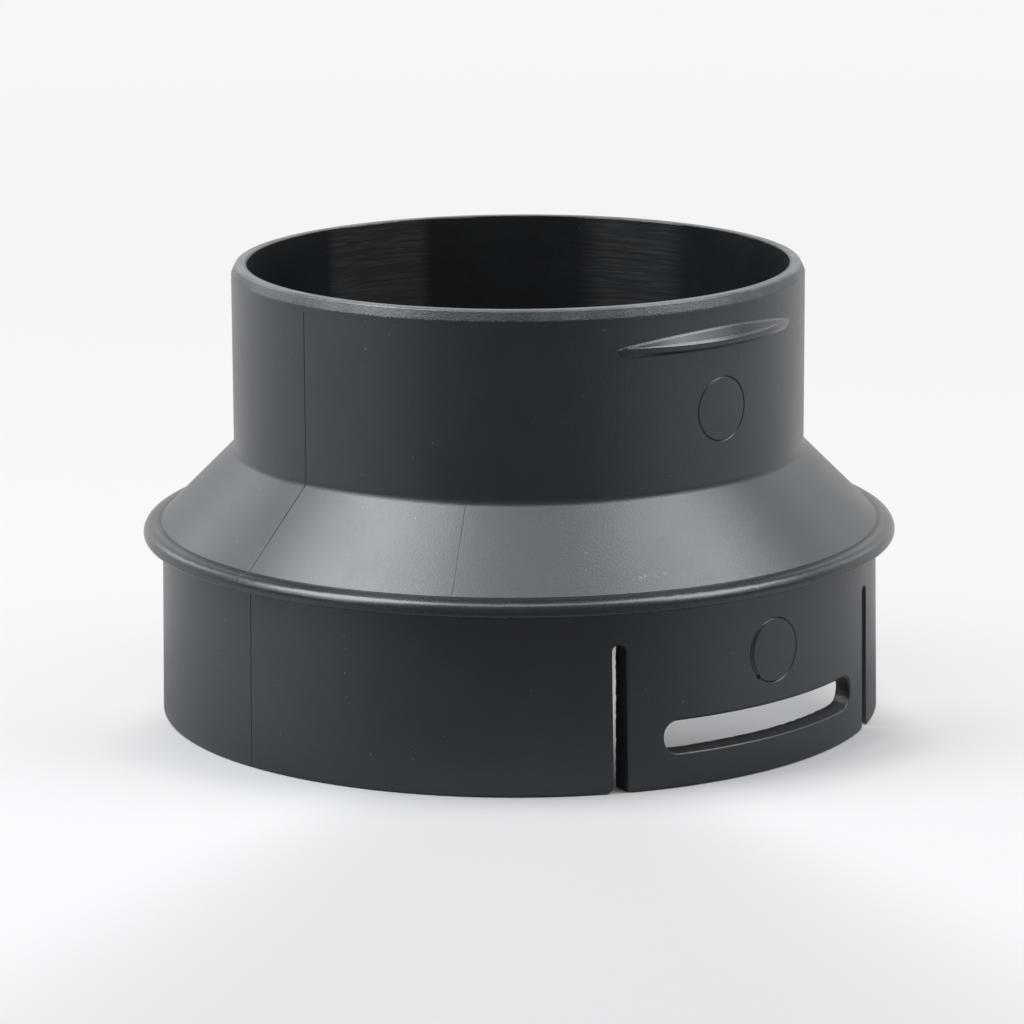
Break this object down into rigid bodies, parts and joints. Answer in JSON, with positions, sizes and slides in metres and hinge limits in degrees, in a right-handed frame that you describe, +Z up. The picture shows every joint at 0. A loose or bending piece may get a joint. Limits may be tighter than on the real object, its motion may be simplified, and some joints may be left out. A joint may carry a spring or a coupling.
{
  "type": "duct reducer",
  "caption": "Moulded plastic duct reducer: a wide socket with slotted snap tabs, a beaded cone and a narrow spigot with snap catches, joining round air ducts of different diameters.",
  "frame": {"origin": "centre of the wide mouth, on the plane that the mouth's edge stands on", "axes": "+Z up the duct axis from the wide mouth to the narrow rim; -Y towards the latch that the picture shows"},
  "size_m": [0.0992, 0.0992, 0.0595],
  "materials": {
    "black_plastic": "satin matte, fine moulded grain"
  },
  "bodies": {
    "root": {"duct_reducer": "black_plastic"}
  },
  "joints": []
}
